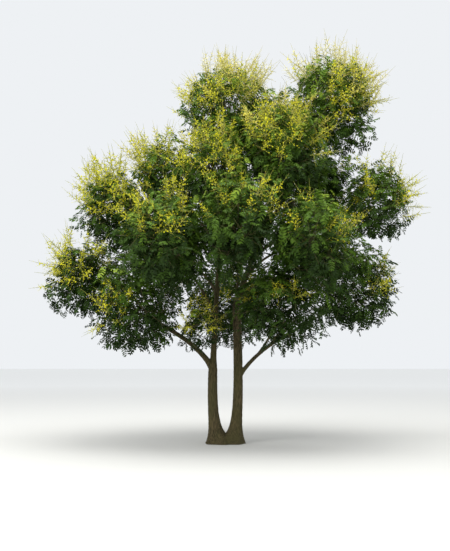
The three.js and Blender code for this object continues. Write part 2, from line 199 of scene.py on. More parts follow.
# A compound leaf, in shares of its length
LEAF_BENDS = (0.12, 0.27, 0.42)  # how far the tips of the kinds of leaf hang
RIB_RISE = 0.1
RIB_END = 0.8  # where the last leaflet leaves the rib
RIB_STEP = 0.01  # along the rib, to find its direction
RIB_HALF_WIDTH = 0.009
LEAFLET_PAIRS = 5
FIRST_PAIR = 0.18
SHORT_LEAFLET = 0.16
LEAFLET_SWELL = 0.13  # how much longer the longest leaflets are
LEAFLET_ARCH = (0.2, 0.85)  # the stretch of a half wave that the swell follows from pair to pair
LEAFLET_WIDTH = 0.42  # share of its own length
LEAFLET_HANG = (-0.15, -0.6)  # how much a leaflet points down, and along the rib, as it points aside
LEAFLET_PULL = (0.35, 0.75)
LEAFLET_STAGGER = 0.03
LEAFLET_TILT = 1.3  # radians over which the tilts spread
LEAFLET_FOLD = 0.16
LEAFLET_EDGE = ((0.32, 0.5), (0.68, 0.4))  # shares along a leaflet, and of its width to each side
END_LEAFLET_LENGTH = 0.2
END_LEAFLET_WIDTH = 0.085

# Where the shoots flower
LOWEST_FLOWERS = -0.6  # shoots that point lower than this have no flowers
FULL_FLOWERS = 0.2  # shoots that point higher than this flower most
CLUSTER_BLOOM = 0.6  # the least share of shoots that flower on a twig that flowers
LOW_CLUSTERS = {  # low masses that flower on one side: where it faces, and the cosine of its half width
    "left_wing": {"side": (-0.3, -0.95, 0.1), "width": 0.82},
    "left_low": {"side": (-0.6, -0.65, -0.5), "width": 0.94},
    "low_sprig": {"side": (0, -1, -0.1), "width": 0.55},
    "right_low": {"side": (0.6, -0.65, -0.4), "width": 0.88},
    "front_low": {"side": (0.1, -0.95, -0.2), "width": 0.95},
}
LOW_CLUSTER_BLOOM = 0.85  # share of the shoots there that flower
STRAY_SHARE = 0.5  # of the mass's own share of flowers, on the twigs that don't flower
SUN_DISTANCE = 0.3  # from the edge of a mass to the place where the sun is looked for
SUN_RISE = 0.45  # how much higher that place is outside the sunny clusters
OUTER_SHOOT = 0.5  # share of the way out beyond which a shoot can flower
HEAD_ROOM = 0.78  # how far out a shoot with a head ends, as a share of one without

# Flower heads stand on the tips of the shoots that flower
HEADS = 2  # on each of those shoots
HEAD_LENGTH = (0.36, 0.68)
SHORTEST_HEAD = 0.16
HEAD_PROUD = 0.15  # how far a head may stand out of its mass
HEADS_TOP = 8.83  # height that no head passes
HEAD_PULL = 0.5  # how much a head carries on along its shoot, turns outwards, rises and sways
HEAD_SPREAD = 0.5
HEAD_RISE = 0.4
HEAD_SWAY = 0.9

# A flower head, in shares of its length
HEAD_KINDS = 3
STALK_FOOT = -0.03  # the stalk starts a little below the shoot's tip
STALK_RADII = (0.012, 0.003)
BRANCHES = 11
BRANCH_HEIGHTS = (0.04, 0.6)
BRANCH_LENGTHS = (0.38, 0.07)  # at the foot of a head and at its top
BRANCH_LEANS = (math.radians(76), math.radians(34))
BRANCH_RADIUS = 0.009
UNEVEN_LENGTH = (0.6, 1.3)  # what a branch's length and lean are multiplied by
UNEVEN_LEAN = (0.8, 1.2)
UNEVEN_TURN = 0.6  # radians that a branch may stray from the golden angle
FLOWERS_ON_BRANCH = 3
FLOWERS_FROM_TO = (0.2, 0.85)  # shares of a branch between which its flowers stand
TOP_ROOT = 0.5  # the stalk's top carries flowers from here on
TOP_LENGTH = 0.4
FLOWER_SIZES = (0.023, 0.041)
TIP_FLOWER = 0.6  # size of the last flower on a branch, as a share of the first's
FLOWER_STRAY = 0.05
FLOWER_TURN = 2  # how much a flower points its own way, and how much along its branch
FLOWER_PULL = 0.4
FLOWER_BREADTH = 0.7
FLOWER_CUP = 0.35

# Facets of the wood, and the bark's relief
LIMB_SIDES = 20
LIMB_STEP = 0.03
FEWEST_LIMB_STEPS = 3
STEM_STEPS = 4  # of the stem inside a mass
TWIG_SIDES = 5
SHOOT_SIDES = 3
SHOOT_STEPS = 2
BARK_FINENESS = 0.0075
BARK_TRIANGLES = 130_000
COLLAR = 0.3  # how much a bough swells where it leaves its limb
COLLAR_LENGTH = 0.14
STEM_ROUNDING = 0.07  # length over which a stem's top rounds off between its boughs
STEM_TOP = 0.45  # share of its radius that is left there
CROTCH_ROUNDS = 9  # of smoothing, which round the crotches
CROTCH_SMOOTHING = 0.5
RIDGE_WIDTH = 0.019
RIDGE_LENGTH = 0.13
RIDGE_DEPTH = 0.008
FINE_RIDGES = 2.3  # how many times finer the small ridges are
FINE_SHARE = 0.25
FULL_RIDGES_AT = 0.09  # radius of a limb whose bark has its full depth
DEEPEST_RIDGES = 1.3  # share of that depth which the thickest limbs reach

# Finishes. The patches' values are named after the sockets that take them
FINISHES = {
    "bark": {"roughness": 0.9, "specular": 0.25},
    "twigs": {"roughness": 0.8, "specular": 0.3, "patch": 0.2},
    "leaves": {"roughness": 0.55, "specular": 0.15, "patch": 0.12},
    "blossom": {"roughness": 0.7, "specular": 0.2, "patch": 0.1},
    "floor": {"roughness": 0.9, "specular": 0.2},
}
BARK_STREAKS = {"Patch Size": 0.017, "Stretch": (1, 1, 6), "Softness": 0.11}
BARK_MOSS = {"Patch Size": 0.35, "Stretch": (1, 1, 1.6), "Softness": 0.3}
BARK_BUMP = {"Distance": 0.006, "Strength": 0.9}
ROUND_PATCHES = {"Stretch": (1, 1, 1), "Softness": 0.15}
PATCH_DETAIL = 4
PATCH_MIDDLE = 0.5  # value of the noise where two colours meet

# Colours
BARK_COLOURS = {"ridge": "#65563d", "furrow": "#211b12", "moss": "#474526"}
TWIG_COLOURS = ("#6f7040", "#59503a")
LEAF_TINTS = {  # painted shade and painted light: each is for shoots that stand in less light than its limit, a light worked out from where they stand, with some tone at random
    # The darker tints are painted shade and the lighter ones painted light; the two colours within each
    # tint are the leaves' own uneven tone
    "deep": {"light": 0.68, "colours": ("#172907", "#223609")},
    "shaded": {"light": 0.9, "colours": ("#1f3308", "#2b430c")},
    "dull": {"light": 1.08, "colours": ("#293f0c", "#375113")},
    "plain": {"light": 1.26, "colours": ("#334c0d", "#445e14")},
    "fresh": {"light": 1.46, "colours": ("#405b14", "#506d1c")},
    "sunlit": {"light": 1.75, "colours": ("#4c691c", "#618026")},
    "young": {"light": math.inf, "colours": ("#6c8722", "#8fa436")},
}
LIGHT_BY_MASS = 0.7  # how much a leaf's height in its mass and in the crown adds to its painted light
LIGHT_BY_CROWN = 0.5
# tone at random, which the leaves have of their own
LIGHT_BY_CHANCE = 0.8
HEAD_TINTS = {  # each is for heads that have fewer shut buds than its limit
    "golden": {
        "shut": 0.85,
        "open": 1,
        "colours": ("#c9c508", "#e8e22c"),
        "stalk": ("#848a38", "#a9a75a"),
    },
    "straw": {
        "shut": 1.12,
        "open": 0.95,
        "colours": ("#d6cb34", "#eee566"),
        "stalk": ("#969446", "#bcb574"),
    },
    "pale": {
        "shut": math.inf,
        "open": 0.9,
        "colours": ("#dcd278", "#f0e9b6"),
        "stalk": ("#a39e58", "#c8c188"),
    },
}
SHUT_BY_CROWN = 0.8  # how much a head's height in the crown and in its mass keeps its buds shut
SHUT_BY_MASS = 0.4
SHUT_BY_CHANCE = 0.5

# The scene round the tree
FLOOR_REACH = 300  # half the floor's width
FLOOR_COLOURS = {"near": "#d4d3ce", "far": "#f4f4f2"}
FLOOR_FADE = {"From Min": 5, "From Max": 45}  # distances from the stems between which the floor pales
SKY_COLOUR = "#eef1f4"
LIGHTS = {  # a broad light above, a key from the front left and a weaker fill
    "overhead": {"place": (0, -2, 20), "size": 16, "power": 3000},
    "key": {"place": (-13, -14, 11), "size": 9, "power": 1700},
    "fill": {"place": (14, -12, 7), "size": 9, "power": 400},
}
LIGHTS_FACE = Vector((0, 0, 4))
CAMERA_PLACE = (0, -16, 1.6)
CAMERA_TIP = math.radians(96.67)  # from straight down
LENS = 50  # in millimetres, as the sensor's width is
SENSOR_WIDTH = 36
FARTHEST_VIEW = 500

Limb = namedtuple("Limb", "line start end radius_at")
Twig = namedtuple("Twig", "start tip way flowers")
Shoot = namedtuple("Shoot", "root bend tip way reached flowers leaf_margin")
Branch = namedtuple("Branch", "root way length")
Placed = namedtuple("Placed", "place turn size kind")
Guide = namedtuple("Guide", "place way across gone radius")


def random_from(seed):
    """A stream of even random numbers from 0 to 1, the same in each run."""
    state = seed
    while True:
        state = state * RANDOM_FACTOR % RANDOM_RANGE
        yield state / RANDOM_RANGE


def swing(random):
    """An even random number from -0.5 to 0.5."""
    return next(random) - 0.5


def mix(a, b, share):
    return a + (b - a) * share


def even_shares(start, end, steps):
    """Values from start to end in even steps, with both ends."""
    return [mix(start, end, step / steps) for step in range(steps + 1)]


def square_to(along, wanted):
    """The unit vector square to `along` that lies nearest to `wanted`."""
    return (wanted - along * wanted.dot(along)).normalized()


def even_way(n, count, turn):
    """One of some directions that the golden angle spreads evenly, from straight up to straight down."""
    height = 1 - 2 * (n + 0.5) / count
    ring = math.sqrt(1 - height**2)
    angle = turn + n * GOLDEN_ANGLE
    return Vector((ring * math.cos(angle), ring * math.sin(angle), height))


class Line:
    """The line of a limb: a cubic curve from its first guide to its last."""

    def __init__(self, guides):
        self.guides = [Vector(guide) for guide in guides]

    def point(self, share):
        a, b, c, d = self.guides
        rest = 1 - share
        return a * rest**3 + b * 3 * rest**2 * share + c * 3 * rest * share**2 + d * share**3

    def tangent(self, share):
        a, b, c, d = self.guides
        share = min(max(share, 0), 1)
        rest = 1 - share
        return ((b - a) * rest**2 + (c - b) * 2 * rest * share + (d - c) * share**2).normalized()

    def length(self, start=0, end=1):
        points = [self.point(share) for share in even_shares(start, end, LENGTH_STEPS)]
        return sum((b - a).length for a, b in zip(points, points[1:]))


class Space:
    """The room of one mass: a ball of its reach, cut flat between it and each neighbour."""

    def __init__(self, name):
        own = MASSES[name]
        self.centre = np.array(own["centre"], float)
        self.reach = own["reach"]
        ways = []
        limits = []
        # A cut lies where the tangents to both balls are equally long
        for other, mass in MASSES.items():
            centre = np.array(mass["centre"], float)
            apart = np.linalg.norm(centre - self.centre)
            if other == name or apart > self.reach + mass["reach"]:
                continue
            powers = centre @ centre - mass["reach"] ** 2 - self.centre @ self.centre + self.reach**2
            ways.append((centre - self.centre) / apart)
            limits.append(powers / (2 * apart))
        self.ways = np.array(ways).reshape(-1, 3)
        self.limits = np.array(limits)

    def depth(self, point):
        """How far a point lies inside."""
        place = np.array(point)
        to_ball = self.reach - np.linalg.norm(place - self.centre)
        return min([to_ball, *(self.limits - self.ways @ place)])

    def way_out(self, point, way, margin):
        """The distance from a point to `margin` short of the edge, in one direction."""
        place = np.array(point)
        heading = np.array(way)
        off = place - self.centre
        inward = off @ heading
        ball = inward**2 - off @ off + (self.reach - margin) ** 2
        if ball <= 0:
            return 0
        nearest = math.sqrt(ball) - inward
        speeds = self.ways @ heading
        rooms = self.limits - margin - self.ways @ place
        for speed, room in zip(speeds, rooms):
            if speed > 0:
                nearest = min(nearest, room / speed)
        return max(nearest, 0)


# Limbs


def stem_radius(stem):
    """The radius of a stem with its root flare, which stands in lobes near the ground."""

    def radius_at(share, centre, angle):
        flare = FLARE * math.exp(-max(centre.z, 0) / FLARE_HEIGHT)
        lobes = 1 + LOBE_DEPTH * math.cos(ROOT_LOBES * angle)
        return mix(stem["radius"], stem["top_radius"], max(share, 0)) * (1 + flare * lobes)

    return radius_at


def bough_line(parent, share, target):
    """The line of a bough: it sets off partly along its parent and turns upwards as it ends."""
    root = parent.line.point(share)
    span = (target - root).length
    to_target = (target - root).normalized()
    departure = (parent.line.tangent(share) * PARENT_PULL + to_target).normalized()
    arrival = (to_target + UP * UP_PULL).normalized()
    first_guide = root + departure * span * DEPARTURE_REACH
    second_guide = target - arrival * span * ARRIVAL_REACH
    return Line([root, first_guide, second_guide, target])


def entry_share(line, space):
    """The share of a bough's line at which it gives way to the stem of its mass."""
    margin = min(ENTRY_MARGIN, space.reach * ENTRY_SHARE)
    share = ENTRY_STEP
    while share < 1:
        point = line.point(share)
        near = np.linalg.norm(np.array(point) - space.centre) < space.reach * STEM_ENTRY
        if near and space.depth(point) > margin:
            return share
        share += ENTRY_STEP
    raise ValueError("a bough never enters its mass")


def grow_bough(name, limbs, space):
    bough = BOUGHS[name]
    line = bough_line(limbs[bough["leaves"]], bough["share"], Vector(MASSES[name]["centre"]))

    def radius_at(share, _centre, _angle):
        return mix(bough["radius"], TIP_RADIUS, max(share, 0) ** TAPER)

    return Limb(line, 0, entry_share(line, space), radius_at)


def grow_limbs(spaces):
    """Every limb by name, from the stems outwards."""
    limbs = {}
    for name, stem in STEMS.items():
        limbs[name] = Limb(Line(stem["guides"]), BELOW_GROUND, 1, stem_radius(stem))
    for name in BOUGHS:
        limbs[name] = grow_bough(name, limbs, spaces[name])
    return limbs


# Growth inside the masses


def grow_twigs(name, limb, space, random):
    """Twigs spread evenly over a mass by the golden angle, turned outwards from the crown's heart."""
    centre = Vector(MASSES[name]["centre"])
    outwards = (centre - CROWN_HEART).normalized()
    stem_way = limb.line.tangent(1)
    seat = limb.end + GAP / limb.line.length()
    turn = math.tau * next(random)
    twigs = []
    for n in range(TWIGS):
        way = (even_way(n, TWIGS, turn) + outwards * OUTWARD_PULL).normalized()
        farthest = space.reach * mix(*TWIG_REACH, next(random))
        flowers = next(random) < MASSES[name]["bloom"] and way.z > LOWEST_HEAD
        span = min(farthest, TIP_ROOM * space.way_out(centre, way, SPACE_MARGIN))
        if span < LEAST_SPAN * space.reach:
            continue
        backwards = (1 - way.dot(stem_way)) / 2
        start = limb.line.point(mix(seat, 1, mix(1, TWIG_START, backwards)))
        tip = centre + way * span
        twigs.append(Twig(start, tip, (tip - start).normalized(), flowers))
    return twigs


def in_the_sun(place, own, spaces):
    """Whether a place lies outside every other mass."""
    spot = np.array(place)
    others = (space for space in spaces.values() if space is not own)
    return all(np.linalg.norm(spot - space.centre) > space.reach for space in others)


def bloom_of(name, way, edge, twig, spaces):
    """How much bloom bares one side of a mass of leaves, and the share of its shoots that flower."""
    space = spaces[name]
    cluster = LOW_CLUSTERS.get(name)
    if cluster and way.dot(Vector(cluster["side"]).normalized()) > cluster["width"]:
        return CLUSTER_BLOOM, LOW_CLUSTER_BLOOM
    bloom = MASSES[name]["bloom"]
    if twig.flowers and in_the_sun(edge, space, spaces):
        bloom = max(bloom, CLUSTER_BLOOM)
        return bloom, bloom
    if not in_the_sun(edge + UP * SUN_RISE, space, spaces):
        return 0, 0
    rise = (way.z - LOWEST_FLOWERS) / (FULL_FLOWERS - LOWEST_FLOWERS)
    bloom *= min(max(rise, 0), 1)
    return bloom, bloom * (1 if twig.flowers else STRAY_SHARE)


def shoot_to(tip, twigs, reached, flowers, leaf_margin):
    """The shoot that serves one place in a mass: it forks off the nearest twig and curves up to it."""

    def on_twig(twig):
        length = (twig.tip - twig.start).length
        along = (tip - twig.start).dot(twig.way)
        aside = (tip - twig.start - twig.way * along).length
        root = min(max(along - aside * SHOOT_FORK, FIRST_SHOOT * length), length)
        return twig.start + twig.way * root

    twig = min(twigs, key=lambda each: (tip - on_twig(each)).length)
    root = on_twig(twig)
    length = (tip - root).length
    bend = root.lerp(tip, 0.5) + (twig.way - UP) * length * SHOOT_CURVE
    return Shoot(root, bend, tip, (tip - bend).normalized(), reached, flowers, leaf_margin)


def grow_shoot(name, way, twigs, spaces, random):
    """The shoot on one side of a mass, or None where there is too little room for it."""
    space = spaces[name]
    centre = Vector(space.centre)
    reached = mix(*SHOOT_TIPS, next(random) ** CROWDING)
    chance = next(random)
    room = space.way_out(centre, way, EDGE_MARGIN)
    if room < LEAST_ROOM * space.reach:
        return None
    twig = min(twigs, key=lambda each: (centre + way * room * reached - each.tip).length)
    edge = centre + way * (room + SUN_DISTANCE)
    bloom, flowering = bloom_of(name, way, edge, twig, spaces)
    flowers = reached > OUTER_SHOOT and chance < flowering
    if flowers:
        reached *= HEAD_ROOM
    leaf_margin = max(LEAF_MARGIN * bloom, EDGE_MARGIN)
    shoot = shoot_to(centre + way * room * reached, twigs, reached, flowers, leaf_margin)
    return shoot if (shoot.tip - shoot.root).length > SHORTEST_SHOOT else None


def grow_shoots(name, twigs, spaces, random):
    """Shoots that fill a mass evenly, spread by the golden angle."""
    count = round(SHOOTS * spaces[name].reach ** 2)
    turn = math.tau * next(random)
    shoots = [grow_shoot(name, even_way(n, count, turn), twigs, spaces, random) for n in range(count)]
    return [shoot for shoot in shoots if shoot]


def along_shoot(shoot, share):
    rest = 1 - share
    return shoot.root * rest**2 + shoot.bend * 2 * rest * share + shoot.tip * share**2


def turn_of(along, upper):
    """The turn that lays a shape's +Y along a direction, with its +Z side upwards."""
    normal = square_to(along, upper)
    return Matrix((along.cross(normal), along, normal)).transposed().to_euler()


def grow_leaves(shoot, space, random):
    """A whorl of leaves at a shoot's end, spread by the golden angle, shorter near the mass's edge."""
    side = square_to(shoot.way, shoot.way.orthogonal())
    third = shoot.way.cross(side)
    turn = math.tau * next(random)
    leaves = []
    for n in range(LEAVES):
        place = n / (LEAVES - 1)
        length = mix(*LEAF_LENGTH, next(random))
        kind = int(next(random) * len(LEAF_BENDS))
        angle = turn + n * GOLDEN_ANGLE
        outwards = side * math.cos(angle) + third * math.sin(angle)
        lean = mix(*LEAF_LEAN, place)
        along = shoot.way * math.cos(lean) + outwards * math.sin(lean) - UP * LEAF_DROOP
        along.normalize()
        root = along_shoot(shoot, mix(FIRST_LEAF, 1, place))
        length = min(length, space.way_out(root, along, shoot.leaf_margin))
        if length > SHORTEST_LEAF:
            leaves.append(Placed(root, turn_of(along, UP + shoot.way), length, kind))
    return leaves


def grow_heads(shoot, space, random):
    """The flower heads on a shoot's tip, no longer than the mass and the crown's top leave room for."""
    heads = []
    outwards = (shoot.tip - Vector(space.centre)).normalized()
    for _ in range(HEADS):
        sway = Vector((swing(random), swing(random), 0)) * HEAD_SWAY
        length = mix(*HEAD_LENGTH, next(random))
        kind = int(next(random) * HEAD_KINDS)
        along = (shoot.way * HEAD_PULL + outwards * HEAD_SPREAD + UP * HEAD_RISE + sway).normalized()
        length = min(length, space.way_out(shoot.tip, along, -HEAD_PROUD))
        if along.z > 0:
            length = min(length, (HEADS_TOP - shoot.tip.z) / along.z)
        if length > SHORTEST_HEAD:
            heads.append(Placed(shoot.tip, turn_of(along, shoot.way.orthogonal()), length, kind))
    return heads


def height_of(shoot, space):
    """How high a shoot ends above the middle of its mass and above the crown's heart, as shares."""
    in_mass = (shoot.tip.z - space.centre[2]) / space.reach
    in_crown = (shoot.tip.z - CROWN_HEART.z) / CROWN_RISE
    return in_mass, in_crown


def leaf_tint(shoot, space, random):
    """Leaves take a painted shade, darkest low and deep in their mass and in the crown, and a painted
    light, brightest at their tops and far out, with some tone at random.
    """
    in_mass, in_crown = height_of(shoot, space)
    light = in_mass * LIGHT_BY_MASS + in_crown * LIGHT_BY_CROWN + shoot.reached
    light += next(random) * LIGHT_BY_CHANCE
    return next(tint for tint, look in LEAF_TINTS.items() if light < look["light"])


def head_tint(shoot, space, random):
    """Flower heads are palest, with most of their buds shut, at the top of the crown."""
    in_mass, in_crown = height_of(shoot, space)
    shut = in_crown * SHUT_BY_CROWN + in_mass * SHUT_BY_MASS + next(random) * SHUT_BY_CHANCE
    return next(tint for tint, look in HEAD_TINTS.items() if shut < look["shut"])


# Meshes


def object_of(name, corners, faces):
    mesh = bpy.data.meshes.new(name)
    mesh.from_pydata(corners, [], faces)
    mesh.update()
    made = bpy.data.objects.new(name, mesh)
    bpy.context.scene.collection.objects.link(made)
    return made


class Facets:
    """A mesh in the making."""

    def __init__(self):
        self.corners = []
        self.faces = []

    def add(self, corners, faces):
        """More corners, and faces that count from the first of them."""
        first = len(self.corners)
        self.corners += corners
        self.faces += [tuple(first + corner for corner in face) for face in faces]

    def add_tube(self, centres, ways, radius_at, sides):
        """A closed tube through centres, with its rings square to the ways."""
        across = FIRST_ACROSS
        corners = []
        for n, (centre, way) in enumerate(zip(centres, ways)):
            across = square_to(way, across)
            third = way.cross(across)
            for side in range(sides):
                angle = math.tau * side / sides
                outwards = across * math.cos(angle) + third * math.sin(angle)
                corners.append(centre + outwards * radius_at(n, centre, angle))
        last = (len(centres) - 1) * sides
        faces = []
        for ring in range(0, last, sides):
            for side in range(sides):
                here = ring + side
                beside = ring + (side + 1) % sides
                faces.append((here, beside, beside + sides, here + sides))
        faces.append(tuple(reversed(range(sides))))
        faces.append(tuple(range(last, last + sides)))
        self.add(corners, faces)

    def add_spike(self, root, tip, radius):
        """A closed three-sided spike."""
        way = (tip - root).normalized()
        side = square_to(way, way.orthogonal())
        third = way.cross(side)
        corners = []
        for angle in (0, math.tau / 3, 2 * math.tau / 3):
            corners.append(root + (side * math.cos(angle) + third * math.sin(angle)) * radius)
        self.add([*corners, tip], [(0, 1, 3), (1, 2, 3), (2, 0, 3), (2, 1, 0)])

    def made(self, name):
        return object_of(name, self.corners, self.faces)


def settle(piece):
    """Works a piece's modifiers into a plain mesh and takes them off it."""
    graph = bpy.context.evaluated_depsgraph_get()
    plain = bpy.data.meshes.new_from_object(piece.evaluated_get(graph))
    plain.name = piece.name
    piece.modifiers.clear()
    piece.data = plain
    return piece


def twig_tube(facets, centres, thick, thin, sides):
    """A slim tube through centres, which tapers evenly."""
    ways = [(b - a).normalized() for a, b in zip(centres, centres[1:])]
    ways.append(ways[-1])
    last = len(centres) - 1
    facets.add_tube(centres, ways, lambda n, _centre, _angle: mix(thick, thin, n / last), sides)


# The bark


def limb_steps(limb):
    steps = round(limb.line.length(max(limb.start, 0), limb.end) / LIMB_STEP)
    return max(FEWEST_LIMB_STEPS, steps)


def limb_tube(tubes, limb, is_bough):
    """One limb's tube. A bough swells where it leaves the limb below, and a stem's top is rounded."""
    shares = even_shares(limb.start, limb.end, limb_steps(limb))
    centres = [limb.line.point(share) for share in shares]
    ways = [limb.line.tangent(share) for share in shares]

    def radius_at(n, centre, angle):
        radius = limb.radius_at(shares[n], centre, angle)
        if is_bough:
            away = (centre - centres[0]).length
            return radius * (1 + COLLAR * math.exp(-((away / COLLAR_LENGTH) ** 2)))
        gone = max(0, 1 - (centre - centres[-1]).length / STEM_ROUNDING)
        return radius * mix(1, STEM_TOP, gone**2)

    tubes.add_tube(centres, ways, radius_at, LIMB_SIDES)


def limb_guides(limbs):
    """Closely spaced places on the limbs, with the directions and radius there, for the bark."""
    guides = []
    for limb in limbs.values():
        across = FIRST_ACROSS
        gone = 0
        before = limb.line.point(limb.start)
        for share in even_shares(limb.start, limb.end, limb_steps(limb)):
            place = limb.line.point(share)
            way = limb.line.tangent(share)
            across = square_to(way, across)
            gone += (place - before).length
            before = place
            guides.append(Guide(place, way, across, gone, limb.radius_at(share, place, 0)))
    return guides


def ridge_height(place, guide):
    """The height of the bark's ridges, which run along the limb, from -1 to 1."""
    off = place - guide.place
    third = guide.way.cross(guide.across)
    along = (guide.gone + off.dot(guide.way)) / RIDGE_LENGTH
    spot = Vector((off.dot(guide.across) / RIDGE_WIDTH, off.dot(third) / RIDGE_WIDTH, along))
    coarse = 1 - 2 * abs(noise.noise(spot))
    fine = noise.noise(spot * FINE_RIDGES)
    return (1 - FINE_SHARE) * coarse + FINE_SHARE * fine


def vectors_of(items, field):
    """One vector of each of a mesh's items, as the rows of an array."""
    values = np.empty(len(items) * 3, np.float32)
    items.foreach_get(field, values)
    return values.reshape(-1, 3)


def raise_bark(piece, limbs):
    """Raises the ridges on the skin of the limbs, deeper on thicker ones."""
    guides = limb_guides(limbs)
    tree = kdtree.KDTree(len(guides))
    for n, guide in enumerate(guides):
        tree.insert(guide.place, n)
    tree.balance()
    mesh = piece.data
    normals = vectors_of(mesh.vertex_normals, "vector")
    places = vectors_of(mesh.vertices, "co")
    rises = np.empty(len(places), np.float32)
    for n, place in enumerate(places):
        spot = Vector(place)
        guide = guides[tree.find(spot)[1]]
        share = min(guide.radius / FULL_RIDGES_AT, DEEPEST_RIDGES)
        rises[n] = ridge_height(spot, guide) * RIDGE_DEPTH * share
    places += normals * rises[:, None]
    mesh.vertices.foreach_set("co", places.ravel())
    mesh.update()


def cut_at_ground(piece):
    """Takes off what lies below the ground and closes the cut flat."""
    shell = bmesh.new()
    shell.from_mesh(piece.data)
    everything = shell.verts[:] + shell.edges[:] + shell.faces[:]
    cut = bmesh.ops.bisect_plane(
        shell, geom=everything, plane_co=(0, 0, 0), plane_no=(0, 0, -1), clear_outer=True
    )
    rim = [edge for edge in cut["geom_cut"] if isinstance(edge, bmesh.types.BMEdge)]
    bmesh.ops.holes_fill(shell, edges=rim)
    shell.to_mesh(piece.data)
    shell.free()


def bark_skin(limbs):
    """Trunk and boughs as one skin: joined, rounded in the crotches, ridged and cut at the ground."""
    tubes = Facets()
    for name, limb in limbs.items():
        limb_tube(tubes, limb, name in BOUGHS)
    bark = tubes.made("bark")
    joined = bark.modifiers.new("joined", "REMESH")
    joined.mode = "VOXEL"
    joined.voxel_size = BARK_FINENESS
    rounded = bark.modifiers.new("rounded", "SMOOTH")
    rounded.iterations = CROTCH_ROUNDS
    rounded.factor = CROTCH_SMOOTHING
    settle(bark)
    raise_bark(bark, limbs)
    lighter = bark.modifiers.new("lighter", "DECIMATE")
    lighter.ratio = min(1, BARK_TRIANGLES / (2 * len(bark.data.polygons)))
    settle(bark)
    cut_at_ground(bark)
    bark.data.shade_smooth()
    return bark


# Leaves and flower heads, each of unit length along +Y


def on_rib(share, bend):
    """A place on a leaf's rib, which rises a little and then hangs."""
    return Vector((0, share, RIB_RISE * share - bend * share**2))


def rib_way(share, bend):
    return (on_rib(share + RIB_STEP, bend) - on_rib(share, bend)).normalized()


def rib_strip(bend):
    """A leaf's own stalk and rib, as a narrow strip."""
    half_width = Vector((RIB_HALF_WIDTH, 0, 0))
    corners = []
    for share in (0, RIB_END / 2, RIB_END):
        corners += [on_rib(share, bend) - half_width, on_rib(share, bend) + half_width]
    return corners, [(0, 1, 3, 2), (2, 3, 5, 4)]


def leaflet(root, way, length, width, tilt):
    """A pointed oval leaflet of four faces, tilted, and folded a little along its middle."""
    level = square_to(way, UP)
    normal = level * math.cos(tilt) + way.cross(level) * math.sin(tilt)
    side = way.cross(normal)
    lift = normal * LEAFLET_FOLD * width
    corners = [root]
    for hand in (1, -1):
        for share, half_width in LEAFLET_EDGE:
            corners.append(root + way * length * share + side * hand * width * half_width + lift)
    corners.append(root + way * length)
    return corners, [(0, 1, 2), (0, 2, 5), (0, 5, 4), (0, 4, 3)]


def leaf_shape(kind, bend):
    """A compound leaf: its rib with pairs of leaflets and one at the end."""
    random = random_from((kind + 1) * SEED_STEP + LEAF_SEED)
    leaf = Facets()
    leaf.add(*rib_strip(bend))
    for pair in range(LEAFLET_PAIRS):
        place = pair / (LEAFLET_PAIRS - 1)
        share = mix(FIRST_PAIR, RIB_END, place)
        length = SHORT_LEAFLET + LEAFLET_SWELL * math.sin(math.pi * mix(*LEAFLET_ARCH, place))
        for hand in (1, -1):
            aside = Vector((hand, 0, mix(*LEAFLET_HANG, next(random))))
            way = (rib_way(share, bend) * mix(*LEAFLET_PULL, next(random)) + aside).normalized()
            root = on_rib(share + LEAFLET_STAGGER * next(random), bend)
            tilt = swing(random) * LEAFLET_TILT
            leaf.add(*leaflet(root, way, length, length * LEAFLET_WIDTH, tilt))
    root = on_rib(RIB_END, bend)
    way = rib_way(RIB_END, bend)
    tilt = swing(random) * LEAFLET_TILT
    leaf.add(*leaflet(root, way, END_LEAFLET_LENGTH, END_LEAFLET_WIDTH, tilt))
    return leaf.made(f"leaf_{kind}")


def head_branches(kind):
    """The side branches of a flower head."""
    random = random_from((kind + 1) * SEED_STEP)
    branches = []
    for n in range(BRANCHES):
        height = mix(*BRANCH_HEIGHTS, n / (BRANCHES - 1))
        angle = n * GOLDEN_ANGLE + kind + UNEVEN_TURN * next(random)
        lean = mix(*BRANCH_LEANS, height) * mix(*UNEVEN_LEAN, next(random))
        out = Vector((math.cos(angle), 0, math.sin(angle)))
        way = Vector((0, math.cos(lean), 0)) + out * math.sin(lean)
        length = mix(*BRANCH_LENGTHS, height) * mix(*UNEVEN_LENGTH, next(random))
        branches.append(Branch(Vector((0, height, 0)), way, length))
    return branches


def stalk_shape(kind):
    """The branched stalk of a flower head, with thin tips that stand clear of the flowers."""
    stalk = Facets()
    top = Vector((0, 1, 0))
    twig_tube(stalk, [top * STALK_FOOT, top / 2, top], *STALK_RADII, SHOOT_SIDES)
    for branch in head_branches(kind):
        stalk.add_spike(branch.root, branch.root + branch.way * branch.length, BRANCH_RADIUS)
    return stalk.made(f"stalk_{kind}")


def flower(spot, way, side, size):
    """One small flower, as a bent diamond."""
    across = side * size * FLOWER_BREADTH
    lift = way.cross(side) * size * FLOWER_CUP
    corners = [spot - way * size, spot + across + lift, spot + way * size, spot - across + lift]
    return corners, [(0, 1, 2), (0, 2, 3)]


def flowers_shape(tint, kind):
    """The small flowers of a flower head, along its branches and its top."""
    openness = HEAD_TINTS[tint]["open"]
    random = random_from((kind + 1) * SEED_STEP + FLOWER_SEED)
    flowers = Facets()
    top = Branch(Vector((0, TOP_ROOT, 0)), Vector((0, 1, 0)), TOP_LENGTH)
    for branch in [*head_branches(kind), top]:
        for n in range(FLOWERS_ON_BRANCH):
            place = n / (FLOWERS_ON_BRANCH - 1)
            stray = Vector([swing(random) for _ in range(3)])
            on_branch = branch.root + branch.way * branch.length * mix(*FLOWERS_FROM_TO, place)
            way = (stray * FLOWER_TURN + branch.way * FLOWER_PULL).normalized()
            side = square_to(way, Vector((next(random), next(random), -1)))
            size = mix(*FLOWER_SIZES, next(random)) * mix(1, TIP_FLOWER, place) * openness
            flowers.add(*flower(on_branch + stray * FLOWER_STRAY, way, side, size))
    return flowers.made(f"flowers_{tint}_{kind}")


# Nodes


